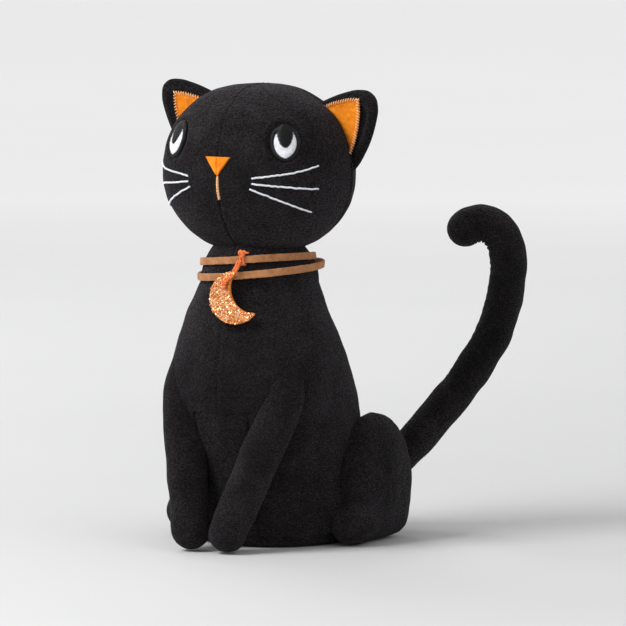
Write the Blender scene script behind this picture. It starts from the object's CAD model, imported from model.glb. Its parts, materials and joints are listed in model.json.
import json
import math

import bmesh
import bpy
import numpy as np
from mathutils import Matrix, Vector


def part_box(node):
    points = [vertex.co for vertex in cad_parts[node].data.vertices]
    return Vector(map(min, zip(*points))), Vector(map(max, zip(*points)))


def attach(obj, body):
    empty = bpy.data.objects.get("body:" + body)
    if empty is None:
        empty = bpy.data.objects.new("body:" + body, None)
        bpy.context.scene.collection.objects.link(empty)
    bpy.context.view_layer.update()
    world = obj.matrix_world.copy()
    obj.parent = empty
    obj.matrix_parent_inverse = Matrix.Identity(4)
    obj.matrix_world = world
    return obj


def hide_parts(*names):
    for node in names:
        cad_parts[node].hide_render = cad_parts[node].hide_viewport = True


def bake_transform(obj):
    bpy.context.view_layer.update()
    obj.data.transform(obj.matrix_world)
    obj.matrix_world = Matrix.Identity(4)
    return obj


# The looks of the seated plush cat. Shapes are worked out in millimetres and stored in metres.
# The cat looks along -Y, its left side is +X, and Z is up.

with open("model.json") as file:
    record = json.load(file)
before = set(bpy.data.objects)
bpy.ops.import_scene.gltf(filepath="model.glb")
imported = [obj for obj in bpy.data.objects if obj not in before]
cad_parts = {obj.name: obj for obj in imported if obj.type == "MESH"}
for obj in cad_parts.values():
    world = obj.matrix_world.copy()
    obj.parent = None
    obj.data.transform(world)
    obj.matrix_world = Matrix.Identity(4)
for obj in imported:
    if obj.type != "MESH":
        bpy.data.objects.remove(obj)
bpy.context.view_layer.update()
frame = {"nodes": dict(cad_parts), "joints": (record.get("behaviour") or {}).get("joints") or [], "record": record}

MM = 0.001
VIEW_HEADING = 31.0
VIEW_RISE = 5.4
SIDES = (("left", 1), ("right", -1))


def box_mm(node):
    """Lowest and highest corner of a CAD node, in millimetres."""
    low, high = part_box(node)
    return np.array(low) / MM, np.array(high) / MM


def joint_mm(name):
    """The place of a joint, in millimetres."""
    found = next(j for j in frame["joints"] if j["name"] == name)
    return np.array(found["pos_m"]) / MM


# ---- numbers -----------------------------------------------------------------------------

NECK_RADIUS = 32.5
NECK_HEIGHT = 142.5
BASE_SEAM = 6.0
FLOOR_GAP = 0.3
HEAD_HALF = np.array([54.0, 43.5, 46.5])
HEAD_CENTRE = np.array([0.0, 0.0, box_mm("head_face_left")[1][2] - HEAD_HALF[2]])
HEAD_SEAM_Y = box_mm("head_back")[0][1]
HEAD_POWER = 2.22
BELLY_HALF = box_mm("belly_panel")[1][0]
BELLY_TOP = box_mm("belly_panel")[1][2]


# ---- shape tools -------------------------------------------------------------------------


def turns(count):
    """Angles evenly round a full circle."""
    return np.linspace(0, 2 * math.pi, count, endpoint=False)


def lengths(line):
    """How far along the line each of its points lies."""
    return np.concatenate([[0], np.cumsum(np.linalg.norm(np.diff(line, axis=0), axis=1))])


def unit(vectors):
    """The vectors at length one."""
    return vectors / np.maximum(np.linalg.norm(vectors, axis=-1, keepdims=True), 1e-9)


def lumps(points, wavelength, seed, waves=16):
    """Smooth random bumps, about -1 to 1, of that wavelength in millimetres."""
    rng = np.random.default_rng(seed)
    pace = unit(rng.normal(size=(waves, 3))) * 2 * math.pi / wavelength
    pace *= rng.uniform(0.7, 1.3, (waves, 1))
    phase = rng.uniform(0, 2 * math.pi, waves)
    return np.sin(points @ pace.T + phase).sum(axis=-1) / math.sqrt(waves)


def groove(distance, depth, width):
    """The dip of a sewn seam, with the cloth a little proud on both sides of it."""
    dip = np.exp(-(distance / width) ** 2)
    pout = np.exp(-((np.abs(distance) - 2.6 * width) / (1.5 * width)) ** 2)
    return depth * (0.22 * pout - dip)


def smoothstep(value, low, high):
    t = np.clip((value - low) / (high - low), 0, 1)
    return t * t * (3 - 2 * t)


def curve_through(keys, values, where):
    """A smooth curve through the values, read at where."""
    keys, values = np.asarray(keys, float), np.asarray(values, float)
    slopes = np.gradient(values, keys)
    index = np.clip(np.searchsorted(keys, where) - 1, 0, len(keys) - 2)
    step = keys[index + 1] - keys[index]
    t = np.clip((where - keys[index]) / step, 0, 1)
    first = (2 * t**3 - 3 * t**2 + 1) * values[index] + (t**3 - 2 * t**2 + t) * step * slopes[index]
    second = (3 * t**2 - 2 * t**3) * values[index + 1] + (t**3 - t**2) * step * slopes[index + 1]
    return first + second


def smooth_line(points, count):
    """Evenly spaced points on a smooth line through the given ones."""
    points = np.asarray(points, float)
    reach = lengths(points)
    fine = np.linspace(0, reach[-1], count * 8)
    dense = np.stack([curve_through(reach, points[:, axis], fine) for axis in range(3)], axis=1)
    length = lengths(dense)
    even = np.linspace(0, length[-1], count)
    return np.stack([np.interp(even, length, dense[:, axis]) for axis in range(3)], axis=1)


def ring_faces(rows, columns, first_cap, last_cap, offset=0):
    """Quads between rings of points, with a fan at each capped end."""
    faces = []
    for row in range(rows - 1):
        here, there = offset + row * columns, offset + (row + 1) * columns
        for column in range(columns):
            after = (column + 1) % columns
            faces.append((here + column, here + after, there + after, there + column))
    pole = offset + rows * columns
    if first_cap:
        faces += [(pole, offset + (c + 1) % columns, offset + c) for c in range(columns)]
        pole += 1
    if last_cap:
        last = offset + (rows - 1) * columns
        faces += [(pole, last + c, last + (c + 1) % columns) for c in range(columns)]
    return faces


def ring_points(rings, first_cap, last_cap):
    """The rings' points in one list, with a pole for each capped end."""
    points = [rings.reshape(-1, 3)]
    if first_cap:
        points.append(rings[0].mean(axis=0, keepdims=True))
    if last_cap:
        points.append(rings[-1].mean(axis=0, keepdims=True))
    return np.concatenate(points)


def ring_normals(rings, middles):
    """Outward directions at the points of the rings, whose middles are given."""
    around = np.roll(rings, -1, axis=1) - np.roll(rings, 1, axis=1)
    along = np.gradient(rings, axis=0)
    normals = unit(np.cross(around, along))
    outward = ((rings - middles[:, None, :]) * normals).sum(axis=-1)
    return normals * np.sign(np.median(outward))


def new_piece(name, points, faces, material, body=None, slot=None):
    """A smooth mesh object from points in millimetres."""
    mesh = bpy.data.meshes.new(name)
    mesh.from_pydata((np.asarray(points) * MM).tolist(), [], faces)
    mesh.materials.append(material)
    mesh.validate()
    bm_fix_normals(mesh)
    piece = bpy.data.objects.new(name, mesh)
    bpy.context.scene.collection.objects.link(piece)
    if body:
        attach(piece, body)
    return piece


def bm_fix_normals(mesh):
    """Smooth shading, with every face turned outward."""
    work = bmesh.new()
    work.from_mesh(mesh)
    bmesh.ops.recalc_face_normals(work, faces=work.faces)
    for face in work.faces:
        face.smooth = True
    work.to_mesh(mesh)
    work.free()


def split_pieces(prefix, points, faces, labels, material):
    """One mesh per label out of a whole skin. Their shared edges lie in the seams."""
    pieces = {}
    for label in sorted(set(labels)):
        chosen = [face for face, own in zip(faces, labels) if own == label]
        used = sorted({corner for face in chosen for corner in face})
        place = {old: new for new, old in enumerate(used)}
        own_faces = [tuple(place[corner] for corner in face) for face in chosen]
        pieces[label] = new_piece(f"{prefix}{label}", points[used], own_faces, material)
    return pieces


def side_vectors(line):
    """Two directions across a line at each point, without twist."""
    ahead = unit(np.gradient(line, axis=0))
    across = np.zeros_like(line)
    start = np.cross(ahead[0], [0.0, 0.0, 1.0])
    if np.linalg.norm(start) < 0.1:
        start = np.cross(ahead[0], [0.0, 1.0, 0.0])
    across[0] = unit(start)
    for index in range(1, len(line)):
        moved = across[index - 1] - ahead[index] * (across[index - 1] @ ahead[index])
        across[index] = unit(moved)
    return across, np.cross(ahead, across)


def tube(line, radius, columns, flat=1.0, turn=0.0):
    """Rings round a line. Radius may change along it; flat squeezes the second direction."""
    across, over = side_vectors(line)
    radius = np.broadcast_to(np.asarray(radius, float), (len(line),))
    angle = turns(columns)[None, :, None]
    angle = angle + np.broadcast_to(np.asarray(turn, float), (len(line),))[:, None, None]
    ring = np.cos(angle) * across[:, None, :] + flat * np.sin(angle) * over[:, None, :]
    return line[:, None, :] + radius[:, None, None] * ring


def joined_tubes(lines, radius, columns=6, taper=0.5):
    """Points and faces of many thin tubes, each narrowing to its ends."""
    points, faces, offset = [], [], 0
    for line in lines:
        t = np.linspace(0, 1, len(line))
        swell = 1 - taper * np.abs(2 * t - 1) ** 6
        rings = tube(line, radius * swell, columns)
        part = ring_points(rings, True, True)
        faces += ring_faces(len(line), columns, True, True, offset)
        points.append(part)
        offset += len(part)
    return np.concatenate(points), faces


def twisted(line, strand_radius, pitch, strands=2, columns=8):
    """Points and faces of strands laid round a line."""
    length = lengths(line)
    across, over = side_vectors(line)
    points, faces, offset = [], [], 0
    for strand in range(strands):
        angle = (2 * math.pi * (length / pitch + strand / strands))[:, None]
        spread = strand_radius * (1.0 if strands == 2 else 1.15)
        path = line + spread * (np.cos(angle) * across + np.sin(angle) * over)
        rings = tube(path, strand_radius, columns)
        faces += ring_faces(len(path), columns, True, True, offset)
        part = ring_points(rings, True, True)
        points.append(part)
        offset += len(part)
    return np.concatenate(points), faces


# ---- materials ---------------------------------------------------------------------------


class Nodes:
    """A short way to write a material's node tree."""

    def __init__(self, name):
        self.material = bpy.data.materials.new(name)
        self.material.use_nodes = True
        self.tree = self.material.node_tree
        self.shader = self.tree.nodes["Principled BSDF"]
        self.place = self.add("ShaderNodeTexCoord").outputs["Object"]

    def add(self, kind, **values):
        node = self.tree.nodes.new(kind)
        for key, value in values.items():
            setattr(node, key, value)
        return node

    def link(self, source, target):
        self.tree.links.new(source, target)

    def scaled(self, factors):
        """The place, stretched along each axis."""
        node = self.add("ShaderNodeMapping")
        node.inputs["Scale"].default_value = factors
        self.link(self.place, node.inputs["Vector"])
        return node.outputs["Vector"]

    def noise(self, scale, detail=3.0, rough=0.6, place=None):
        node = self.add("ShaderNodeTexNoise")
        node.inputs["Scale"].default_value = scale
        node.inputs["Detail"].default_value = detail
        node.inputs["Roughness"].default_value = rough
        self.link(place or self.place, node.inputs["Vector"])
        return node.outputs["Fac"]

    def ramp(self, value, stops):
        node = self.add("ShaderNodeValToRGB")
        while len(node.color_ramp.elements) < len(stops):
            node.color_ramp.elements.new(0.5)
        for element, (position, colour) in zip(node.color_ramp.elements, stops):
            element.position = position
            element.color = (*colour, 1.0)
        self.link(value, node.inputs["Fac"])
        return node.outputs["Color"]

    def math(self, kind, first, second):
        node = self.add("ShaderNodeMath", operation=kind)
        for socket, value in zip(node.inputs, (first, second)):
            if isinstance(value, (int, float)):
                socket.default_value = value
            else:
                self.link(value, socket)
        return node.outputs["Value"]

    def mix(self, share, first, second):
        node = self.add("ShaderNodeMix", data_type="RGBA")
        self.link(share, node.inputs["Factor"])
        self.link(first, node.inputs["A"])
        self.link(second, node.inputs["B"])
        return node.outputs["Result"]

    def bump(self, height, distance, strength=1.0, below=None):
        node = self.add("ShaderNodeBump")
        node.inputs["Strength"].default_value = strength
        node.inputs["Distance"].default_value = distance
        self.link(height, node.inputs["Height"])
        if below:
            self.link(below, node.inputs["Normal"])
        return node.outputs["Normal"]

    def set(self, **values):
        for key, value in values.items():
            self.shader.inputs[key.replace("_", " ")].default_value = value


def velour_material():
    """Short black pile: brushed darker and lighter in patches, with lit fibre tips."""
    nodes = Nodes("velour")
    brushed = nodes.noise(15.0, 4.0, 0.55)
    patches = nodes.noise(70.0, 3.0, 0.6)
    courses = nodes.noise(780.0, 2.0, 0.6, nodes.scaled((1.0, 1.0, 2.1)))
    grain = nodes.noise(1900.0, 2.0, 0.75)
    both = nodes.math("ADD", nodes.math("MULTIPLY", brushed, 0.6), nodes.math("MULTIPLY", patches, 0.4))
    patch = nodes.ramp(both, ((0.34, (0.0010, 0.0008, 0.0009)), (0.50, (0.0034, 0.0028, 0.0031)),
                              (0.66, (0.0090, 0.0076, 0.0084))))
    tips = nodes.ramp(both, ((0.34, (0.0050, 0.0042, 0.0046)), (0.50, (0.0180, 0.0152, 0.0168)),
                             (0.66, (0.0420, 0.0360, 0.0395))))
    both_grains = nodes.math("ADD", nodes.math("MULTIPLY", courses, 0.55),
                             nodes.math("MULTIPLY", grain, 0.45))
    share = nodes.ramp(both_grains, ((0.42, (0.0, 0.0, 0.0)), (0.60, (1.0, 1.0, 1.0))))
    nodes.link(nodes.mix(share, patch, tips), nodes.shader.inputs["Base Color"])
    low = nodes.bump(courses, 0.0016, 0.9)
    nodes.link(nodes.bump(grain, 0.0009, 0.8, low), nodes.shader.inputs["Normal"])
    rough = nodes.ramp(both, ((0.3, (0.82, 0.82, 0.82)), (0.7, (0.96, 0.96, 0.96))))
    nodes.link(rough, nodes.shader.inputs["Roughness"])
    sheen = nodes.ramp(both_grains, ((0.42, (0.02, 0.02, 0.02)), (0.62, (0.17, 0.17, 0.17))))
    nodes.link(sheen, nodes.shader.inputs["Sheen Weight"])
    nodes.set(Sheen_Roughness=0.38, Sheen_Tint=(0.84, 0.78, 0.86, 1.0), Specular_IOR_Level=0.10)
    return nodes.material


def felt_material(name, deep, mid, pale):
    """Wool felt: matted fibres in every direction, a little uneven in colour."""
    nodes = Nodes(name)
    cloud = nodes.noise(120.0, 5.0, 0.65)
    fibres = nodes.noise(1500.0, 5.0, 0.75, nodes.scaled((1.0, 1.0, 0.45)))
    colour = nodes.ramp(nodes.math("ADD", nodes.math("MULTIPLY", cloud, 0.55),
                                   nodes.math("MULTIPLY", fibres, 0.45)),
                        ((0.34, deep), (0.50, mid), (0.68, pale)))
    nodes.link(colour, nodes.shader.inputs["Base Color"])
    nodes.link(nodes.bump(fibres, 0.0005, 0.8), nodes.shader.inputs["Normal"])
    nodes.set(Roughness=0.95, Sheen_Weight=0.18, Sheen_Roughness=0.6, Specular_IOR_Level=0.15)
    nodes.shader.inputs["Sheen Tint"].default_value = (*pale, 1.0)
    return nodes.material


def thread_material(name, shade, light, shine, sheen=0.15):
    """Embroidery thread: fine filaments with a soft shine."""
    nodes = Nodes(name)
    filaments = nodes.noise(4200.0, 3.0, 0.6)
    length = nodes.noise(600.0, 2.0, 0.5)
    nodes.link(nodes.ramp(nodes.math("MULTIPLY", nodes.math("ADD", filaments, length), 0.5),
                          ((0.36, shade), (0.60, light))), nodes.shader.inputs["Base Color"])
    nodes.link(nodes.bump(filaments, 0.00012, 0.7), nodes.shader.inputs["Normal"])
    nodes.link(nodes.ramp(length, ((0.3, (shine, shine, shine)), (0.7, (shine + 0.2,) * 3))),
               nodes.shader.inputs["Roughness"])
    nodes.set(Sheen_Weight=sheen, Specular_IOR_Level=0.30)
    return nodes.material


def suede_material():
    """Tan suede cut in a strap: mottled nap with paler rubbed spots."""
    nodes = Nodes("suede")
    cloud = nodes.noise(190.0, 5.0, 0.6)
    nap = nodes.noise(2300.0, 4.0, 0.7)
    mixed = nodes.math("ADD", nodes.math("MULTIPLY", cloud, 0.6), nodes.math("MULTIPLY", nap, 0.4))
    nodes.link(nodes.ramp(mixed, ((0.32, (0.235, 0.095, 0.038)), (0.50, (0.40, 0.175, 0.072)),
                                  (0.68, (0.56, 0.28, 0.125)))), nodes.shader.inputs["Base Color"])
    nodes.link(nodes.bump(nap, 0.0003, 0.8, nodes.bump(cloud, 0.0003, 0.4)), nodes.shader.inputs["Normal"])
    nodes.link(nodes.ramp(cloud, ((0.3, (0.72, 0.72, 0.72)), (0.7, (0.9, 0.9, 0.9)))),
               nodes.shader.inputs["Roughness"])
    nodes.set(Sheen_Weight=0.2, Sheen_Roughness=0.5, Specular_IOR_Level=0.2)
    nodes.shader.inputs["Sheen Tint"].default_value = (0.9, 0.62, 0.42, 1.0)
    return nodes.material


def glitter_material():
    """Coarse glitter in clear binder: every flake has a colour of its own."""
    nodes = Nodes("glitter")
    cells = nodes.add("ShaderNodeTexVoronoi")
    cells.inputs["Scale"].default_value = 1500.0
    nodes.link(nodes.place, cells.inputs["Vector"])
    split = nodes.add("ShaderNodeSeparateColor")
    nodes.link(cells.outputs["Color"], split.inputs["Color"])
    nodes.link(nodes.ramp(split.outputs["Red"], ((0.0, (0.50, 0.12, 0.02)), (0.40, (0.80, 0.26, 0.06)),
                                                 (0.75, (0.93, 0.42, 0.15)), (1.0, (1.0, 0.74, 0.50)))),
               nodes.shader.inputs["Base Color"])
    nodes.link(nodes.ramp(split.outputs["Green"], ((0.0, (0.15, 0.15, 0.15)), (1.0, (0.42, 0.42, 0.42)))),
               nodes.shader.inputs["Roughness"])
    nodes.link(nodes.bump(split.outputs["Blue"], 0.0004, 0.8), nodes.shader.inputs["Normal"])
    nodes.set(Metallic=0.55, Coat_Weight=0.35, Coat_Roughness=0.15)
    return nodes.material


def inner_material(name, shade, light, scale, metallic=0.0):
    """What is sealed inside: filling, pouch cloth, pellets and wire."""
    nodes = Nodes(name)
    grain = nodes.noise(scale, 5.0, 0.7)
    nodes.link(nodes.ramp(grain, ((0.35, shade), (0.65, light))), nodes.shader.inputs["Base Color"])
    nodes.link(nodes.bump(grain, 0.0006, 0.8), nodes.shader.inputs["Normal"])
    nodes.set(Roughness=0.85 if metallic == 0 else 0.35, Metallic=metallic)
    return nodes.material


VELOUR = velour_material()
FELT = felt_material("felt", (0.62, 0.13, 0.006), (0.83, 0.235, 0.012), (0.93, 0.36, 0.035))
WHITE = thread_material("white_thread", (0.62, 0.64, 0.68), (0.86, 0.87, 0.90), 0.45)
BLACK = thread_material("black_thread", (0.0012, 0.0012, 0.0016), (0.0040, 0.0040, 0.0052), 0.30, 0.0)
PEACH = thread_material("orange_thread_pale", (0.78, 0.34, 0.12), (0.96, 0.60, 0.30), 0.45)
ORANGE = thread_material("orange_thread", (0.70, 0.12, 0.025), (0.93, 0.27, 0.07), 0.5)
SUEDE = suede_material()
GLITTER = glitter_material()
INNER = {
    "stuffing": inner_material("stuffing", (0.62, 0.62, 0.60), (0.85, 0.85, 0.83), 300.0),
    "pouch": inner_material("pouch", (0.45, 0.43, 0.40), (0.66, 0.64, 0.60), 1500.0),
    "pellets": inner_material("pellets", (0.50, 0.50, 0.50), (0.80, 0.80, 0.78), 450.0),
    "wire": inner_material("wire", (0.40, 0.40, 0.41), (0.60, 0.60, 0.61), 800.0, 1.0),
}


# ---- head --------------------------------------------------------------------------------


def head_points(directions, grow=0.0):
    """Points of the head's plain form in those directions from its centre."""
    half = HEAD_HALF + grow
    reach = (np.abs(directions / half) ** HEAD_POWER).sum(axis=-1) ** (-1 / HEAD_POWER)
    return directions * reach[..., None]


def head_normals(points):
    """Outward directions of the plain form at points on it."""
    scaled = np.sign(points) * np.abs(points / HEAD_HALF) ** (HEAD_POWER - 1) / HEAD_HALF
    return unit(scaled)


# whiskers of the left cheek: points across and up from the head's centre
WHISKERS = (
    ((20.3, -2.4), (29.0, -1.2), (38.0, 0.0), (45.5, 2.2), (49.5, 4.3)),
    ((20.3, -5.3), (29.0, -6.3), (38.0, -7.3), (49.2, -8.4)),
    ((19.0, -8.2), (28.0, -12.0), (37.5, -16.6), (44.8, -20.8)),
)
EYE_PLACES = {1: np.array([32.7, -29.0, 16.0]), -1: np.array([-29.8, -31.0, 16.0])}
EYE_HALF = np.array([8.0, 10.2])
NOSE_CORNERS = ((-8.0, 8.7), (8.0, 8.7), (0.0, -1.9))
MOUTH_TOP, MOUTH_FOOT = -2.0, -14.6


def eye_offsets(points, side):
    """How far points are across and up from an eye's middle, on the head's surface."""
    middle = EYE_PLACES[side]
    normal = head_normals(middle)
    across = unit(np.cross(normal, [0.0, 0.0, 1.0]))
    rise = np.cross(across, normal)
    away = points - middle
    return away @ across, away @ rise, away @ normal


def head_relief(points):
    """How far the cover stands out from the plain form: seams, stitched places and stuffing."""
    x, y, z = points[..., 0], points[..., 1], points[..., 2]
    relief = 0.30 * lumps(points, 34.0, 3) + 0.10 * lumps(points, 11.0, 4)
    front = smoothstep(-y, -HEAD_SEAM_Y, 4.0 - HEAD_SEAM_Y)
    relief += groove(x + 0.25 * lumps(points, 16.0, 5), 0.60, 0.60) * front
    relief += groove(y - HEAD_SEAM_Y, 1.0, 0.9) * (1 - 0.3 * front)
    for side in (1, -1):
        across, rise, depth = eye_offsets(points, side)
        reach = np.hypot(across / EYE_HALF[0], rise / EYE_HALF[1])
        near = np.abs(depth) < 12
        relief += near * 0.55 * np.exp(-((reach - 1.32) / 0.17) ** 2)
        relief -= near * 0.9 * np.exp(-((reach - 1.0) / 0.13) ** 2)
        angle = np.arctan2(rise, across)
        pucker = np.sin(angle * 23 + 3 * side) * np.exp(-((reach - 1.22) / 0.14) ** 2)
        relief += 0.10 * near * pucker
    for whisker in WHISKERS:
        for start, end in zip(whisker[:-1], whisker[1:]):
            run = np.array(end) - np.array(start)
            share = ((np.abs(x) - start[0]) * run[0] + (z - start[1]) * run[1]) / (run @ run)
            share = np.clip(share, 0, 1)
            gap = np.hypot(np.abs(x) - start[0] - share * run[0], z - start[1] - share * run[1])
            relief -= 0.10 * np.exp(-(gap / 1.3) ** 2) * (y < 0)
    return relief


def head_surface(directions, lift=0.0):
    """Points on the finished head, lifted off it, in the row's place."""
    points = head_points(unit(directions))
    normals = head_normals(points)
    relief = head_relief(points)
    return HEAD_CENTRE + points + normals * (relief + lift)[..., None]


def build_head():
    rows, columns = 230, 380
    polar = np.linspace(0.004, math.pi - 0.004, rows)[:, None]
    round_ = turns(columns)[None, :]
    directions = np.stack([np.sin(polar) * np.cos(round_), np.sin(polar) * np.sin(round_),
                           np.cos(polar) * np.ones_like(round_)], axis=-1)
    rings = head_surface(directions * HEAD_HALF)
    points = ring_points(rings, True, True)
    faces = ring_faces(rows, columns, True, True)
    middles = np.array([points[list(face)].mean(axis=0) for face in faces])
    labels = np.where(middles[:, 1] > HEAD_SEAM_Y, "back",
                      np.where(middles[:, 0] > 0, "face_left", "face_right"))
    pieces = split_pieces("head_cover_", points, faces, labels.tolist(), VELOUR)
    for label, piece in pieces.items():
        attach(piece, "head")
        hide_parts(f"head_{label}")


def front_point(across, up, lift=0.0):
    """Points of the head's front at a place across and up from its centre."""
    across, up = np.asarray(across, float), np.asarray(up, float)
    rest = 1 - np.abs(across / HEAD_HALF[0]) ** HEAD_POWER - np.abs(up / HEAD_HALF[2]) ** HEAD_POWER
    deep = -HEAD_HALF[1] * np.maximum(rest, 1e-4) ** (1 / HEAD_POWER)
    return head_surface(np.stack([across, deep, up], axis=-1), lift)


def eye_point(side, across, up, lift):
    """Points on the head round an eye's middle."""
    middle = EYE_PLACES[side]
    normal = head_normals(middle)
    right = unit(np.cross(normal, [0.0, 0.0, 1.0])) * -1.0
    rise = unit(np.cross(right, normal))
    if rise[2] < 0:
        rise = -rise
    spot = middle + np.asarray(across)[..., None] * right + np.asarray(up)[..., None] * rise
    return head_surface(spot, np.asarray(lift, float) * np.ones(spot.shape[:-1]))


def stitch(side, start, end, height, steps=9):
    """One satin stitch between two places beside an eye, arched over the padding under it."""
    t = np.linspace(0, 1, steps)
    across = start[0] + (end[0] - start[0]) * t
    up = start[1] + (end[1] - start[1]) * t
    arch = height * (1 - np.abs(2 * t - 1) ** 4) - 0.25
    return eye_point(side, across, up, arch)


def oval_fill(side, middle, half, pitch, height, seed, tilt=0.0, jag=0.25):
    """Stitches side by side that fill an oval, with slightly uneven ends."""
    rng = np.random.default_rng(seed)
    lines = []
    for up in np.arange(-half[1] + pitch / 2, half[1], pitch):
        width = half[0] * math.sqrt(max(0.0, 1 - (up / half[1]) ** 2))
        if width < 0.6:
            continue
        ends = width + rng.uniform(-jag, jag, 2)
        start = (middle[0] - ends[0], middle[1] + up - tilt * ends[0])
        end = (middle[0] + ends[1], middle[1] + up + tilt * ends[1])
        lines.append(stitch(side, start, end, height))
    return lines


def padding(side, middle, half, height):
    """A low pad under stitches, as rings from its middle to its edge."""
    share = np.linspace(0.02, 1.0, 14)[:, None]
    angle = turns(64)[None, :]
    across = middle[0] + half[0] * share * np.cos(angle)
    up = middle[1] + half[1] * share * np.sin(angle)
    lift = height * (1 - share ** 6) * np.ones_like(angle) - 0.3 * share ** 8
    rings = eye_point(side, across, up, lift)
    return ring_points(rings, True, False), ring_faces(len(share), 64, True, False)


def merge(first, second):
    points = np.concatenate([first[0], second[0]])
    shift = len(first[0])
    return points, first[1] + [tuple(corner + shift for corner in face) for face in second[1]]


PUPIL_MIDDLE = (0.0, 3.2)
PUPIL_HALF = (4.7, 6.4)
WHITE_MIDDLE = (0.0, -0.5)
WHITE_HALF = (6.2, 7.9)


def build_eyes():
    for word, side in SIDES:
        white = merge(padding(side, WHITE_MIDDLE, WHITE_HALF, 0.55),
                      joined_tubes(oval_fill(side, WHITE_MIDDLE, WHITE_HALF, 0.52, 0.85, 11), 0.33))
        piece = new_piece(f"eye_{word}_white_satin", *white, WHITE, "head", "white_thread")
        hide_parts(f"eye_{word}_white")
        pupil = merge(padding(side, PUPIL_MIDDLE, PUPIL_HALF, 1.0),
                      joined_tubes(oval_fill(side, PUPIL_MIDDLE, PUPIL_HALF, 0.5, 1.3, 12, jag=0.1), 0.32))
        piece = new_piece(f"eye_{word}_pupil_satin", *pupil, BLACK, "head", "black_thread")
        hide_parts(f"eye_{word}_pupil")
        rng = np.random.default_rng(13)
        lines = []
        for angle in np.arange(0, 2 * math.pi, 0.5 / 8.6):
            inner = np.array([WHITE_MIDDLE[0] + (WHITE_HALF[0] - 0.5) * math.cos(angle),
                              WHITE_MIDDLE[1] + (WHITE_HALF[1] - 0.5) * math.sin(angle)])
            outer = np.array([EYE_HALF[0] * math.cos(angle + 0.05), EYE_HALF[1] * math.sin(angle + 0.05)])
            outer = outer * (1 + rng.uniform(-0.02, 0.03))
            if math.sin(angle) > 0.80:
                inner = inner * 0.80
            lines.append(stitch(side, inner, outer, 0.95, 7))
        rim = joined_tubes(lines, 0.31)
        piece = new_piece(f"eye_{word}_rim_satin", *rim, BLACK, "head", "black_thread")
        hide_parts(f"eye_{word}_rim")


def build_nose():
    """A felt triangle with soft corners, and the stitched line under it."""
    middle = np.mean(NOSE_CORNERS, axis=0)
    outline = []
    for number, corner in enumerate(NOSE_CORNERS):
        after = NOSE_CORNERS[(number + 1) % 3]
        for t in np.linspace(0.0, 1.0, 30, endpoint=False):
            outline.append((1 - t) * np.array(corner) + t * np.array(after))
    outline = np.array(outline)
    share = np.concatenate([np.linspace(0.03, 0.95, 18), [0.98, 1.0, 1.005]])[:, None, None]
    flat = middle + share * (outline - middle)[None]
    lift = 1.15 * (1 - np.clip((share[..., 0] - 0.93) / 0.075, 0, 1) ** 2) * np.ones(len(outline)) - 0.1
    rings = front_point(flat[..., 0], flat[..., 1], lift)
    rings = rings + 0.06 * lumps(rings, 2.2, 8)[..., None] * np.array([0, -1, 0])
    nose = new_piece("nose_felt_patch", ring_points(rings, True, False),
                     ring_faces(len(share), len(outline), True, False), FELT, "head", "felt")
    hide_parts("nose_felt")
    up = np.linspace(MOUTH_TOP, MOUTH_FOOT, 60)
    line = front_point(0.15 * np.sin(up / 4.0), up, 0.35 * np.ones_like(up))
    piece = new_piece("mouth_line_stitch", *twisted(line, 0.42, 3.2), PEACH, "head", "orange_thread")
    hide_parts("mouth_line")


def build_whiskers():
    for word, side in SIDES:
        whole = (np.zeros((0, 3)), [])
        for whisker in WHISKERS:
            flat = np.array([(side * across, 0.0, up) for across, up in whisker])
            line = smooth_line(flat, 150)
            ragged = 0.13 * lumps(line, 2.4, 14)
            path = front_point(line[:, 0], line[:, 2] + ragged, 0.18 + 0.06 * lumps(line, 1.8, 15))
            whole = merge(whole, twisted(path, 0.29, 1.9))
        piece = new_piece(f"whiskers_{word}_stitch", *whole, WHITE, "head", "white_thread")
        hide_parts(f"whiskers_{word}")


# ---- ears --------------------------------------------------------------------------------

# outlines of the left ear and its felt lining, across and up from the head's centre
EAR_OUTLINE = ((27.0, 37.6), (36.0, 41.9), (47.0, 45.8), (56.0, 47.6), (62.5, 46.9), (66.4, 43.6),
               (67.6, 38.0), (66.4, 29.5), (63.4, 19.5), (59.4, 10.5), (54.5, 2.5), (49.0, -3.0))
LINING_OUTLINE = ((33.4, 36.4), (40.0, 39.4), (47.0, 41.4), (53.0, 42.4), (57.4, 42.4))
LINING_OUTER = ((57.4, 42.4), (57.6, 35.0), (56.6, 27.0), (54.6, 18.0), (51.2, 9.0))


def ear_depth(up):
    """The ear leans: its lower part is further back."""
    return 12.0 + (24.0 - up) * 0.07


# the left ear sits a little lower on the head than the right one
EAR_RISE = {1: -3.6, -1: -0.8}
LINING_RISE = {1: 0.0, -1: -2.2}
EAR_SPREAD = {1: 0.6, -1: 2.4}


def ear_frame(side, flat, forward):
    """Points of an ear from places across and up, forward of its middle sheet."""
    share = smoothstep(flat[..., 1], -5.0, 45.0)
    across = flat[..., 0] + EAR_SPREAD[side] * share
    up = flat[..., 1] + EAR_RISE[side] * share
    return np.stack([side * across, ear_depth(up) - forward, up + HEAD_CENTRE[2]], axis=-1)


def closed_smooth(points, count):
    """Points evenly along a smooth open outline."""
    flat = np.array([(x, y, 0.0) for x, y in points])
    return smooth_line(flat, count)[:, :2]


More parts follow.
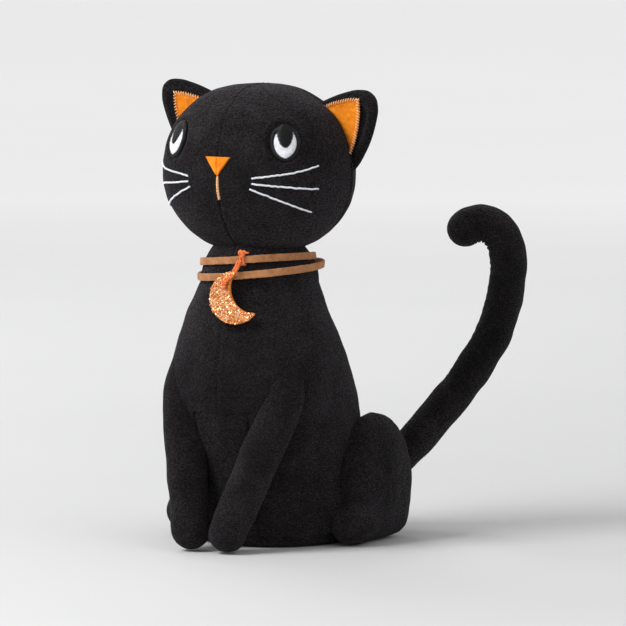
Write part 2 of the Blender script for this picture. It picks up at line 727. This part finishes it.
def build_ears():
    outer = closed_smooth(EAR_OUTLINE, 150)
    foot = np.linspace(outer[-1], outer[0], 50)[1:-1]
    outline = np.concatenate([outer, foot])
    middle = np.array([50.0, 26.0])
    rim = 1 - 0.14 * np.linspace(0.93, 0.0, 16) ** 1.6
    share = np.concatenate([np.linspace(0.02, 0.86, 34), rim])[:, None, None]
    flat = middle + share * (outline - middle)[None]
    edge = 1 - share[..., 0] * np.ones(len(outline))
    swell = np.sqrt(np.clip(1 - (1 - edge) ** 7, 0, 1))
    for word, side in SIDES:
        whole = {}
        for face, sign in (("front", 1), ("back", -1)):
            puff = 2.9 * swell
            if sign > 0:
                puff = puff - 1.6 * smoothstep(edge, 0.20, 0.42)
            rings = ear_frame(side, flat, sign * puff)
            bumps = 0.22 * lumps(rings, 15.0, 21 + side) * swell
            rings = rings + bumps[..., None] * np.array([0, -sign, 0])
            points = ring_points(rings, True, False)
            whole[face] = (points, ring_faces(len(share), len(outline), True, False))
            piece = new_piece(f"ear_{word}_{face}_cover", *whole[face], VELOUR, f"ear_{word}", "velour")
            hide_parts(f"ear_{word}_{face}")
        build_lining(word, side)


def lining_front(edge):
    """How far forward the felt lies: it sinks into the padded ear away from the edge."""
    return 3.35 - 0.55 * smoothstep(edge, 0.0, 0.5)


def build_lining(word, side):
    """The felt triangle and the whipped stitches that hold its two free edges."""
    top = closed_smooth(LINING_OUTLINE, 40)
    down = closed_smooth(LINING_OUTER, 50)[1:]
    inner = np.linspace(down[-1], top[0], 30)[1:-1]
    outline = np.concatenate([top, down, inner])
    middle = np.array([49.0, 30.0])
    share = np.concatenate([np.linspace(0.03, 0.94, 20), [0.97, 0.99, 1.0, 1.0]])[:, None, None]
    flat = middle + share * (outline - middle)[None]
    edge = 1 - share[..., 0] * np.ones(len(outline))
    forward = lining_front(edge)
    forward[-2:] -= np.array([0.25, 1.0])[:, None]
    shift = np.array([0.0, LINING_RISE[side]])
    rings = ear_frame(side, flat + shift, forward)
    rings = rings + (0.10 * lumps(rings, 3.0, 31))[..., None] * np.array([0, -1, 0])
    felt = new_piece(f"ear_{word}_lining_felt", ring_points(rings, True, False),
                     ring_faces(len(share), len(outline), True, False), FELT, f"ear_{word}", "felt")
    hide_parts(f"ear_{word}_lining")
    rng = np.random.default_rng(41)
    lines = []
    for edge_line in (closed_smooth(LINING_OUTLINE, 17), closed_smooth(LINING_OUTER, 22)):
        ahead = unit(np.gradient(edge_line, axis=0))
        away = np.stack([-ahead[:, 1], ahead[:, 0]], axis=-1)
        for place, run, out in zip(edge_line, ahead, away):
            slant = 0.45 + rng.uniform(-0.1, 0.1)
            start = place - out * 1.25 - run * slant
            end = place + out * 0.75 + run * slant
            t = np.linspace(0, 1, 8)[:, None]
            path = start * (1 - t) + end * t
            rise = 3.60 + 0.28 * np.sin(math.pi * t[:, 0]) - 0.5 * t[:, 0] ** 4
            lines.append(ear_frame(side, path + shift, rise))
    stitches = new_piece(f"ear_{word}_whip_stitches", *joined_tubes(lines, 0.30), PEACH, f"ear_{word}",
                         "orange_thread")


# ---- trunk and front legs ----------------------------------------------------------------

TRUNK_HEIGHTS = (0.0, 14.0, 50.0, 90.0, 117.0, NECK_HEIGHT)
TRUNK_RADII = (43.5, 48.5, 50.0, 49.0, 41.3, 32.8)
TRUNK_CENTRES = (16.0, 16.0, 12.0, 4.8, 1.0, 0.0)

# middle line of the left front leg, from inside the chest to the paw
LEG_LINE = ((27.0, -10.0, 120.0), (31.0, -19.5, 100.0), (31.6, -28.0, 81.0), (25.9, -36.0, 59.0),
            (19.0, -44.2, 36.0), (13.6, -50.2, 18.0), (11.4, -52.8, 11.0))
PAW_LENGTH = 10.2
PAW_RADIUS = 10.5
LEG_SEAM_TURN = {1: 2.4, -1: 0.75}
LEG_RADII = (8.5, 10.4, 11.4, 11.3, 11.1, 10.9, 10.5)


def trunk_radius(height):
    """The trunk's plain radius at a height."""
    return curve_through(TRUNK_HEIGHTS, TRUNK_RADII, height)


def trunk_centre(height):
    """How far back the trunk's middle lies at a height."""
    return curve_through(TRUNK_HEIGHTS, TRUNK_CENTRES, height)


def leg_distance(points, side):
    """Rough distance of points outside a front leg's surface."""
    line = smooth_line(LEG_LINE, 40) * np.array([side, 1, 1])
    radii = np.interp(np.linspace(0, 1, 40), np.linspace(0, 1, len(LEG_RADII)), LEG_RADII)
    gap = np.full(points.shape[:-1], 1e3)
    for place, radius in zip(line, radii):
        gap = np.minimum(gap, np.linalg.norm(points - place, axis=-1) - radius)
    return gap


def trunk_relief(points):
    """Seams, darts and stuffing of the trunk's cover."""
    x, y, z = points[..., 0], points[..., 1], points[..., 2]
    relief = 0.38 * lumps(points, 36.0, 51) + 0.14 * lumps(points, 13.0, 52)
    front = y < 10
    wander = 0.35 * lumps(points, 18.0, 53)
    on_belly = smoothstep(-z, -BELLY_TOP - 2, -BELLY_TOP + 3)
    relief += front * on_belly * groove(np.abs(x) - BELLY_HALF + wander, 0.9, 0.9)
    relief += front * (np.abs(x) < BELLY_HALF) * groove(z - BELLY_TOP + wander, 0.9, 0.9)
    above = smoothstep(z, BELLY_TOP - 3, BELLY_TOP + 2)
    relief += front * above * groove(x + wander, 0.35, 0.8)
    relief += (y > 10) * groove(x + wander, 0.7, 0.8)
    relief += groove(z - BASE_SEAM + wander, 1.0, 0.9)
    # the collar draws the neck in a little, with short folds under it
    under = np.exp(-((z - 147.0) / 7.0) ** 2)
    angle = np.arctan2(x, -y)
    relief += under * (0.16 * np.sin(angle * 17 + 2 * lumps(points, 30.0, 54)))
    # the filling sags to a soft fold where each front leg leaves the chest
    for side in (1, -1):
        gap = leg_distance(points, side)
        reach = 7.0 + 11.0 * smoothstep(z, 66.0, 90.0)
        relief += np.clip(1 - gap / reach, 0, 1) ** 2 * reach * 0.15 * smoothstep(z, 60.0, 84.0)
    return relief


def build_trunk():
    columns = 330
    lower = np.linspace(0.0, NECK_HEIGHT, 205)
    dome = np.linspace(0.02, math.pi / 2 - 0.03, 44)
    heights = np.concatenate([lower, NECK_HEIGHT + NECK_RADIUS * np.sin(dome)])
    radii = np.concatenate([trunk_radius(lower), NECK_RADIUS * np.cos(dome)])
    centres = np.concatenate([trunk_centre(lower), np.zeros(len(dome))])
    # the base rolls under with a soft edge
    roll = np.clip((5.0 - heights) / 5.0, 0, 1)
    radii = radii - 3.2 * roll ** 2.5
    under = np.linspace(0.03, 0.97, 36)
    radii = np.concatenate([under * radii[0], radii])
    lift = 0.35 * roll[:1].repeat(len(heights))
    heights = np.concatenate([np.full(len(under), 0.35), heights + lift * roll])
    centres = np.concatenate([np.full(len(under), TRUNK_CENTRES[0]), centres])
    angle = turns(columns)[None, :]
    middles = np.stack([np.zeros(len(heights)), centres, heights], axis=-1)
    rings = np.stack([radii[:, None] * np.sin(angle), centres[:, None] - radii[:, None] * np.cos(angle),
                      heights[:, None] * np.ones_like(angle)], axis=-1)
    normals = ring_normals(rings, middles)
    relief = trunk_relief(rings)
    flat = smoothstep(rings[..., 2], 1.0, 5.0)
    rings = rings + normals * (relief * flat)[..., None]
    rings[..., 2] = np.maximum(rings[..., 2], FLOOR_GAP)
    points = ring_points(rings, True, True)
    faces = ring_faces(len(heights), columns, True, True)
    middle = np.array([points[list(face)].mean(axis=0) for face in faces])
    x, y, z = middle.T
    labels = np.where(x > 0, "body_panel_left", "body_panel_right")
    labels = np.where((np.abs(x) < BELLY_HALF) & (y < -12) & (z < BELLY_TOP), "belly_panel", labels)
    labels = np.where(z < BASE_SEAM, "base_panel", labels)
    for label, piece in split_pieces("cover_", points, faces, labels.tolist(), VELOUR).items():
        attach(piece, "root")
        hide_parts(label)


def capped_line(line, radii, cap):
    """A line with radii that round off to nothing over its last stretch."""
    reach = lengths(line)
    left = reach[-1] - reach
    return radii * np.sqrt(np.clip(1 - (1 - np.clip(left / cap, 0, 1)) ** 2, 1e-4, 1))


def build_front_legs():
    for word, side in SIDES:
        route = np.array(LEG_LINE) * np.array([side, 1, 1])
        last = unit(route[-1] - route[-2])
        route = np.concatenate([route, [route[-1] + last * PAW_LENGTH]])
        rows, columns = 190, 110
        line = smooth_line(route, rows)
        shares = np.linspace(0, 1, len(LEG_RADII) + 1)
        radii = np.interp(np.linspace(0, 1, rows), shares, (*LEG_RADII, PAW_RADIUS))
        radii = capped_line(line, radii, PAW_RADIUS)
        radii[:20] *= np.sqrt(np.linspace(0.05, 1, 20))
        rings = tube(line, radii, columns)
        normals = ring_normals(rings, line)
        relief = 0.28 * lumps(rings, 22.0, 61 + side) + 0.10 * lumps(rings, 8.0, 63)
        # the seam runs down the outer back of the leg
        ends = smoothstep(np.arange(rows), rows, rows - 16)[:, None]
        angle = turns(columns)[None, :] * np.ones((rows, 1))
        turn = np.mod(angle - LEG_SEAM_TURN[side] + math.pi, 2 * math.pi) - math.pi
        seam = turn * radii[:, None]
        relief = relief + groove(seam, 0.6, 0.7) * ends
        rings = rings + normals * (relief * ends)[..., None]
        rings[..., 2] = np.maximum(rings[..., 2], FLOOR_GAP + 0.15 * np.maximum(0, 1 - rings[..., 2] / 4))
        piece = new_piece(f"front_leg_{word}_cover", ring_points(rings, True, True),
                          ring_faces(rows, columns, True, True), VELOUR, None, "velour")
        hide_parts(f"front_leg_{word}_skin")
        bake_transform(piece)


# ---- hind legs ---------------------------------------------------------------------------

HAUNCH_MIDDLE_X = 51.5
# outline of a hind leg seen from the side: back from the front of the cat, and up
HAUNCH_OUTLINE = ((34.0, 71.0), (46.0, 68.0), (57.0, 59.0), (64.0, 46.0), (66.5, 31.0),
                  (65.6, 14.5), (60.0, 3.4), (46.0, 0.7), (30.0, 0.5), (12.0, 0.4), (1.6, 2.6),
                  (-2.2, 9.0), (-1.2, 16.6), (3.4, 21.4), (4.8, 25.0), (3.4, 32.0), (4.2, 44.0),
                  (9.6, 57.0), (20.0, 67.4))


def build_hind_legs():
    count = 220
    loop = np.array([(0.0, y, z) for y, z in (*HAUNCH_OUTLINE, HAUNCH_OUTLINE[0])])
    outline = smooth_line(loop, count + 1)[:-1, 1:]
    middle = np.array([32.0, 33.0])
    rim = 1 - 0.20 * np.linspace(0.96, 0.0, 26) ** 1.5
    share = np.concatenate([np.linspace(0.015, 0.80, 40), rim])[:, None, None]
    flat = middle + share * (outline - middle)[None]
    edge = 1 - share[..., 0] * np.ones(count)
    swell = np.sqrt(np.clip(1 - (1 - edge) ** 3.2, 0, 1))
    # the thigh and the foot each stand out as a cushion of their own
    cushions = []
    for centre, half, reach in (((34.0, 36.0), (31.0, 36.0), 15.3), ((12.5, 11.5), (15.4, 12.2), 14.6)):
        gap = ((flat - np.array(centre)) / np.array(half)) ** 2
        cushions.append(reach * np.sqrt(np.clip(1 - gap.sum(axis=-1), 0, 1) * swell))
    for word, side in SIDES:
        whole = (np.zeros((0, 3)), [])
        for sign, deep in ((1, 13.5), (-1, 12.0)):
            thick = sum(layer ** 5 for layer in (deep * swell, *cushions)) ** (1 / 5)
            bend = 0.35 * np.maximum(0, 18.0 - flat[..., 0]) * 0.2
            x = HAUNCH_MIDDLE_X + sign * thick + bend
            rings = np.stack([x, flat[..., 0], flat[..., 1]], axis=-1)
            crease = np.exp(-((np.hypot(flat[..., 0] - 2.0, (flat[..., 1] - 27.0)) - 4.0) / 7.0) ** 2)
            rings[..., 0] -= sign * 1.5 * crease * swell
            lump = 0.42 * lumps(rings, 24.0, 71) + 0.20 * lumps(rings, 9.0, 72)
            rings[..., 0] += sign * lump * swell
            # short gathers all along the perimeter seam
            angle = np.arctan2(flat[..., 1] - middle[1], flat[..., 0] - middle[0])
            gather = np.exp(-((edge - 0.06) / 0.05) ** 2)
            rings[..., 0] += sign * 0.22 * gather * np.sin(angle * 41 + 2 * lumps(rings, 20.0, 73))
            rings[..., 0] *= side
            half = (ring_points(rings, True, False), ring_faces(len(share), count, True, False))
            whole = merge(whole, half)
        piece = new_piece(f"hind_leg_{word}_cover", *whole, VELOUR, "root", "velour")
        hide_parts(f"hind_leg_{word}_skin")


# ---- tail --------------------------------------------------------------------------------

# middle line of the tail: out from its root in an upright plane, and up
TAIL_ROUTE = ((-16.0, 20.0), (0.0, 22.0), (18.0, 28.5), (35.0, 41.5), (49.7, 57.3), (59.2, 68.5),
              (67.9, 79.0), (77.2, 93.2), (85.6, 107.9), (90.7, 122.5), (93.5, 136.0), (94.3, 150.0),
              (90.7, 163.4), (85.0, 168.8), (79.0, 170.6), (72.6, 169.2), (68.2, 166.3))
TAIL_HEADING = math.radians(31.0)
TAIL_RADIUS = 10.0
TAIL_ROWS = 430
LOWER_CUT, UPPER_CUT = 108, 262


def tail_points(pairs):
    root = joint_mm("tail_swing")
    pairs = np.asarray(pairs, float)
    return np.stack([root[0] + pairs[:, 0] * math.cos(TAIL_HEADING),
                     root[1] + pairs[:, 0] * math.sin(TAIL_HEADING), pairs[:, 1]], axis=-1)


def build_tail():
    route = tail_points(TAIL_ROUTE)
    last = unit(route[-1] - route[-2])
    route = np.concatenate([route, [route[-1] + last * 8.0]])
    rows, columns = TAIL_ROWS, 92
    line = smooth_line(route, rows)
    radii = capped_line(line, np.full(rows, TAIL_RADIUS + 0.2), 10.4)
    rings = tube(line, radii, columns)
    normals = ring_normals(rings, line)
    relief = 0.26 * lumps(rings, 26.0, 81) + 0.12 * lumps(rings, 9.0, 82)
    # cross folds on the inside of the bend at the tip, and a few faint ones lower down
    plane = np.array([math.cos(TAIL_HEADING), math.sin(TAIL_HEADING), 0.0])
    ahead = unit(np.gradient(line, axis=0))
    turning = np.gradient(ahead, axis=0)
    bend = np.linalg.norm(turning, axis=1)
    inward = unit(turning)
    radial = (rings - line[:, None, :]) / (TAIL_RADIUS + 0.2)
    inside = np.clip((radial * inward[:, None, :]).sum(-1), 0, 1) ** 1.5
    reach = lengths(line)[:, None]
    strength = np.clip(bend / bend.max(), 0, 1)[:, None]
    folds = np.sin(reach * 2 * math.pi / 5.2 + 1.5 * lumps(rings, 18.0, 83))
    relief += 0.75 * inside * strength * folds
    ends = smoothstep(reach[-1] - reach, 0, 6)
    angle = turns(columns)[None, :]
    across, over = side_vectors(line)
    side_angle = np.arctan2((over @ plane)[:, None], (across @ plane)[:, None])
    gap = (np.mod(angle - side_angle + math.pi, 2 * math.pi) - math.pi) * TAIL_RADIUS
    relief += groove(gap, 0.55, 0.7) * ends
    rings = rings + normals * (relief * ends)[..., None]
    parts = (("lower", 0, LOWER_CUT, "root", "tail_lower", "tail_swing"),
             ("middle", LOWER_CUT, UPPER_CUT, "tail_lower", "tail_middle", "tail_middle_bend"),
             ("tip", UPPER_CUT, rows - 1, "tail_middle", "tail_tip", "tail_tip_bend"))
    for word, first, last_row, before, after, joint in parts:
        part = rings[first:last_row + 1]
        at_root, at_tip = first == 0, last_row == rows - 1
        piece = new_piece(f"tail_{word}_cover", ring_points(part, at_root, at_tip),
                          ring_faces(len(part), columns, at_root, at_tip), VELOUR, None, "velour")
        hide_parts(f"tail_{word}_skin")
        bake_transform(piece)


# ---- collar and charm --------------------------------------------------------------------

UPPER_RADIUS, LOWER_RADIUS = 30.8, 34.3
UPPER_Z, LOWER_Z = 157.0, 148.8
STRAP_HALF_WIDTH, STRAP_HALF_THICK = 2.0, 0.75
CHARM_BEARING = math.radians(14.0)


def strap_line(angle):
    """The strap's middle line: two turns close it, and it crosses itself behind."""
    half = angle / 2
    radius = (UPPER_RADIUS + LOWER_RADIUS) / 2 + (LOWER_RADIUS - UPPER_RADIUS) / 2 * np.sin(half)
    radius = radius - 1.7 * np.cos(half)
    part = np.sin(half) * (1.3 - 0.3 * np.sin(half) ** 2)
    height = (UPPER_Z + LOWER_Z) / 2 - (UPPER_Z - LOWER_Z) / 2 * part
    x, y = -radius * np.sin(angle), radius * np.cos(angle)
    height = height + 0.09 * x + 0.22 * np.sin(angle * 1.5 + 0.6)
    return np.stack([x, y, height], axis=-1)


def build_collar():
    rows = 520
    angle = np.linspace(0, 4 * math.pi, rows, endpoint=False)
    line = strap_line(angle)
    away = unit(line * np.array([1, 1, 0]))
    tip = 0.10 * np.sin(angle * 2.5 + 1.0)[:, None]
    up = unit(np.array([0.0, 0.0, 1.0]) + tip * away)
    out = unit(away - tip * np.array([0.0, 0.0, 1.0]))
    # a flat section with soft corners, wider than it is thick
    section = turns(28)
    wide = STRAP_HALF_WIDTH * np.sign(np.sin(section)) * np.abs(np.sin(section)) ** 0.35
    thick = STRAP_HALF_THICK * np.sign(np.cos(section)) * np.abs(np.cos(section)) ** 0.35
    rings = line[:, None, :] + out[:, None, :] * thick[None, :, None] + up[:, None, :] * wide[None, :, None]
    edge = np.abs(np.sin(section))[None, :] ** 8
    fray = 0.10 * lumps(rings, 1.6, 91) * edge + 0.05 * lumps(rings, 3.5, 92)
    rings = rings + fray[..., None] * up[:, None, :]
    rings = rings + (0.05 * lumps(rings, 2.4, 93))[..., None] * out[:, None, :]
    columns = len(section)
    faces = ring_faces(rows, columns, False, False)
    last = (rows - 1) * columns
    faces += [(last + c, last + (c + 1) % columns, (c + 1) % columns, c) for c in range(columns)]
    piece = new_piece("collar_strap_suede", rings.reshape(-1, 3), faces, SUEDE, "collar", "suede")
    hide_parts("collar_strap")


def charm_place(outward, along, height):
    away = np.array([math.sin(CHARM_BEARING), -math.cos(CHARM_BEARING), 0.0])
    right = np.array([math.cos(CHARM_BEARING), math.sin(CHARM_BEARING), 0.0])
    return away * outward + right * along + np.array([0.0, 0.0, height])


MOON_RADIUS = 14.3
MOON_BITE = np.array([11.4, 6.0])
MOON_LEAN = math.radians(8.0)
MOON_HOLE = np.array([-6.0, 5.2])
MOON_MIDDLE = charm_place(38.2, -1.5, 137.5)


def on_moon(right, up, out):
    """Points of the moon's own plane, with out measured from its back."""
    side = np.array([math.cos(CHARM_BEARING), math.sin(CHARM_BEARING), 0.0])
    away = np.array([math.sin(CHARM_BEARING), -math.cos(CHARM_BEARING), 0.0])
    rise = np.array([0.0, 0.0, 1.0]) * math.cos(MOON_LEAN) - away * math.sin(MOON_LEAN)
    face = np.cross(side, rise)
    right, up, out = (np.asarray(v, float)[..., None] for v in np.broadcast_arrays(right, up, out))
    return MOON_MIDDLE + right * side + up * rise + out * face


def moon_outline(count):
    """The crescent: a round outer edge, and a bite with one blunt and one pointed horn."""
    gap = np.linalg.norm(MOON_BITE)
    axis = math.atan2(MOON_BITE[1], MOON_BITE[0])
    half = math.acos(gap / 2 / MOON_RADIUS)
    outer = np.linspace(axis + half + 0.10, axis + 2 * math.pi - half - 0.02, count)
    inner = np.linspace(axis + math.pi + half - 0.05, axis + math.pi - half + 0.13, count)[1:-1]
    outside = np.stack([np.cos(outer), np.sin(outer)], axis=-1) * MOON_RADIUS
    inside = MOON_BITE + np.stack([np.cos(inner), np.sin(inner)], axis=-1) * MOON_RADIUS
    return outside, inside[::-1]


def moon_slab(low, high, shrink, bump, seed):
    """A crescent plate between two depths: strips run from the outer edge to the bite."""
    outside, inside = moon_outline(120)
    even = np.linspace(0, 1, 120)
    far = np.stack([np.interp(even, np.linspace(0, 1, len(inside)), inside[:, axis]) for axis in (0, 1)],
                   axis=-1)
    t = np.linspace(shrink, 1 - shrink, 26)[None, :, None]
    flat = outside[:, None, :] * (1 - t) + far[:, None, :] * t
    front = on_moon(flat[..., 0], flat[..., 1], high)
    front = front + (bump * lumps(front, 1.3, seed))[..., None] * unit(on_moon(0, 0, 1) - on_moon(0, 0, 0))
    back = on_moon(flat[..., 0], flat[..., 1], low)
    rows, columns = flat.shape[:2]
    points = np.concatenate([front.reshape(-1, 3), back.reshape(-1, 3)])
    shift = rows * columns
    faces = []
    for row in range(rows - 1):
        for column in range(columns - 1):
            a = row * columns + column
            faces.append((a, a + 1, a + columns + 1, a + columns))
            faces.append((a + shift, a + columns + shift, a + columns + 1 + shift, a + 1 + shift))
    rim = [c for c in range(columns)] + [r * columns + columns - 1 for r in range(1, rows)]
    rim += [(rows - 1) * columns + c for c in range(columns - 2, -1, -1)]
    rim += [r * columns for r in range(rows - 2, 0, -1)]
    for number, corner in enumerate(rim):
        after = rim[(number + 1) % len(rim)]
        faces.append((corner, after, after + shift, corner + shift))
    return points, faces, flat


def build_moon():
    felt, felt_faces = moon_slab(0.0, 1.6, 0.0, 0.05, 101)[:2]
    piece = new_piece("moon_felt_back", felt, felt_faces, FELT, "charm", "felt")
    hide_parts("moon_felt")
    plate, plate_faces, flat = moon_slab(1.6, 2.7, 0.015, 0.12, 102)
    face = new_piece("moon_glitter_face", plate, plate_faces, GLITTER, "charm", "glitter")
    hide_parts("moon_glitter")
    # loose flakes stand on the face at every angle
    rng = np.random.default_rng(103)
    spots = flat.reshape(-1, 2)[rng.choice(flat.shape[0] * flat.shape[1], 900, replace=False)]
    spots = spots + rng.uniform(-0.25, 0.25, spots.shape)
    points, faces = [], []
    for right, up in spots:
        size = rng.uniform(0.26, 0.48)
        tilt = rng.uniform(-0.55, 0.55, 2)
        spin = rng.uniform(0, math.pi)
        turn = spin + np.arange(6) * math.pi / 3
        dx, dy = size * np.cos(turn), size * np.sin(turn)
        height = 2.85 + dx * tilt[0] + dy * tilt[1]
        faces.append(tuple(range(len(points), len(points) + 6)))
        points += on_moon(right + dx, up + dy, height).tolist()
    flakes = new_piece("moon_flakes", np.array(points), faces, GLITTER, "charm", "glitter")
    for polygon in flakes.data.polygons:
        polygon.use_smooth = False


def build_thread():
    """Two plied strands from the knot down through the moon's hole, and the knot itself."""
    lines = []
    for shift in (-0.75, 0.75):
        route = [charm_place(33.6, 0.6 + shift * 0.3, 160.6), charm_place(35.0, shift * 0.8 - 0.2, 158.0),
                 charm_place(37.0, -1.6 + shift, 153.6), charm_place(39.6, -4.2 + shift, 149.0),
                 on_moon(MOON_HOLE[0] + shift * 0.8 + 0.2, MOON_HOLE[1] + 2.6, 4.1),
                 on_moon(MOON_HOLE[0] + shift * 0.3, MOON_HOLE[1] + 0.3, 3.6),
                 on_moon(MOON_HOLE[0], MOON_HOLE[1] - 0.3, 1.8)]
        lines.append(smooth_line([np.asarray(p, float).reshape(3) for p in route], 120))
    whole = (np.zeros((0, 3)), [])
    for line in lines:
        whole = merge(whole, twisted(line[18:], 0.44, 3.4))
    piece = new_piece("charm_thread_plied", *whole, ORANGE, "charm", "orange_thread")
    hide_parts("charm_thread")
    # the tie: two coils round the upper strap, a knot over its top edge and a frayed end
    centre = strap_line(np.array([3 * math.pi + CHARM_BEARING]))[0]
    away = unit(centre * np.array([1, 1, 0]))
    side = np.array([away[1], -away[0], 0.0]) * -1
    whole = (np.zeros((0, 3)), [])
    for shift in (-0.75, 0.75):
        turn = np.linspace(0, 2 * math.pi, 70)
        tall = (STRAP_HALF_WIDTH + 0.75) * np.sign(np.sin(turn)) * np.abs(np.sin(turn)) ** 0.6
        deep = (STRAP_HALF_THICK + 0.72) * np.sign(np.cos(turn)) * np.abs(np.cos(turn)) ** 0.6
        coil = centre + deep[:, None] * away + tall[:, None] * np.array([0, 0, 1.0])
        coil = coil + (shift - 0.35 * np.sin(turn))[:, None] * side
        whole = merge(whole, twisted(coil, 0.40, 3.0))
    knot_middle = centre + np.array([0, 0, STRAP_HALF_WIDTH + 1.5]) + away * 1.3
    t = np.linspace(0, 2 * math.pi, 120)
    trefoil = np.stack([np.sin(t) + 2 * np.sin(2 * t), np.cos(t) - 2 * np.cos(2 * t), -np.sin(3 * t)],
                       axis=-1) * 0.52
    knot = knot_middle + trefoil[:, :1] * side + trefoil[:, 2:] * away
    knot = knot + trefoil[:, 1:2] * np.array([0, 0, 1.0])
    whole = merge(whole, twisted(knot, 0.46, 3.0))
    rng = np.random.default_rng(111)
    ends = []
    for _ in range(16):
        spread = rng.uniform(-0.6, 0.6, 3)
        tip_point = knot_middle + side * rng.uniform(3.0, 4.3) + np.array([0, 0, 0.4]) + spread
        bend_point = knot_middle + side * 1.6 + np.array([0, 0, 0.5]) + spread * 0.35
        ends.append(smooth_line([knot_middle, bend_point, tip_point], 8))
    whole = merge(whole, joined_tubes(ends, 0.17, 5, 0.7))
    piece = new_piece("charm_tie_knot", *whole, ORANGE, "collar", "orange_thread")
    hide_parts("charm_tie")


# ---- what stays from the CAD, the stage and the camera -----------------------------------


def finish_inner_nodes():
    """Give each sealed inner piece its material."""
    slots = {entry["node"]: entry["material_slot"] for entry in frame["record"]["subparts"]}
    for name, node in frame["nodes"].items():
        material = INNER.get(slots.get(name))
        if material is None:
            continue
        node.data.materials.clear()
        node.data.materials.append(material)


def stage_material():
    """Matt paper that glows a little away from the cat, so that the backdrop stays pale."""
    nodes = Nodes("studio_paper")
    grain = nodes.noise(3.0, 2.0, 0.5)
    nodes.link(nodes.ramp(grain, ((0.3, (0.585, 0.585, 0.59)), (0.7, (0.6, 0.6, 0.6)))),
               nodes.shader.inputs["Base Color"])
    nodes.set(Roughness=0.9, Specular_IOR_Level=0.1)
    away = nodes.add("ShaderNodeVectorMath", operation="LENGTH")
    nodes.link(nodes.add("ShaderNodeNewGeometry").outputs["Position"], away.inputs[0])
    glow = nodes.add("ShaderNodeMapRange")
    nodes.link(away.outputs["Value"], glow.inputs["Value"])
    glow.inputs["From Min"].default_value = 0.3
    glow.inputs["From Max"].default_value = 2.5
    glow.inputs["To Max"].default_value = 0.44
    nodes.shader.inputs["Emission Color"].default_value = (1.0, 1.0, 1.0, 1.0)
    nodes.link(glow.outputs["Result"], nodes.shader.inputs["Emission Strength"])
    return nodes.material


def build_stage():
    """A pale floor that curves up into a backdrop."""
    bend_start, bend, top = 4500.0, 2500.0, 8000.0
    profile = [(-6000.0, 0.0), (bend_start, 0.0)]
    for step in range(1, 25):
        angle = math.pi / 2 * step / 24
        profile.append((bend_start + bend * math.sin(angle), bend - bend * math.cos(angle)))
    profile.append((bend_start + bend, top))
    heading = math.radians(VIEW_HEADING)
    ahead = np.array([-math.sin(heading), math.cos(heading), 0.0])
    right = np.array([math.cos(heading), math.sin(heading), 0.0])
    points = []
    for deep, height in profile:
        for side in (-9000.0, 9000.0):
            points.append(ahead * deep + right * side + np.array([0, 0, height]))
    faces = [(2 * n, 2 * n + 1, 2 * n + 3, 2 * n + 2) for n in range(len(profile) - 1)]
    new_piece("studio_sweep", np.array(points), faces, stage_material())


def area_light(name, place, target, size, power):
    light = bpy.data.lights.new(name, "AREA")
    light.shape = "DISK"
    light.size = size
    light.energy = power
    item = bpy.data.objects.new(name, light)
    item.location = place
    aim(item, target)
    bpy.context.scene.collection.objects.link(item)


def aim(item, target):
    away = Vector(target) - Vector(item.location)
    item.rotation_euler = away.to_track_quat("-Z", "Y").to_euler()


def around(heading, rise, distance, target):
    """A place seen from the target at that heading and rise, in degrees."""
    a, e = math.radians(heading), math.radians(rise)
    away = np.array([math.sin(a) * math.cos(e), -math.cos(a) * math.cos(e), math.sin(e)])
    return tuple(np.array(target) + distance * away)


def build_lights():
    middle = (0.0, 0.0, 0.12)
    area_light("key", around(VIEW_HEADING - 62, 42, 1.6, middle), middle, 0.8, 24.0)
    area_light("fill", around(VIEW_HEADING + 45, 30, 2.0, middle), middle, 1.4, 4.0)
    area_light("rim", around(VIEW_HEADING + 200, 45, 1.7, middle), middle, 0.9, 7.0)
    world = bpy.data.worlds.new("studio")
    world.use_nodes = True
    world.node_tree.nodes["Background"].inputs["Color"].default_value = (1.0, 1.0, 1.0, 1.0)
    world.node_tree.nodes["Background"].inputs["Strength"].default_value = 0.54
    bpy.context.scene.world = world


def build_camera():
    """A long lens at the height of the cat's chest. The cat stands left of the middle."""
    camera = bpy.data.cameras.new("camera")
    camera.sensor_width = 36.0
    distance = 3.2
    width = 0.3430
    camera.lens = camera.sensor_width * distance / width
    heading = math.radians(VIEW_HEADING)
    target = (0.0292 * math.cos(heading), 0.0292 * math.sin(heading), 0.12595)
    item = bpy.data.objects.new("camera", camera)
    item.location = around(VIEW_HEADING, VIEW_RISE, distance, target)
    aim(item, target)
    bpy.context.scene.collection.objects.link(item)
    bpy.context.scene.camera = item


build_camera()
build_head()
build_eyes()
build_nose()
build_whiskers()
build_ears()
build_trunk()
build_front_legs()
build_hind_legs()
build_tail()
build_collar()
build_moon()
build_thread()
finish_inner_nodes()
build_stage()
build_lights()
bpy.context.scene.view_settings.view_transform = "Standard"
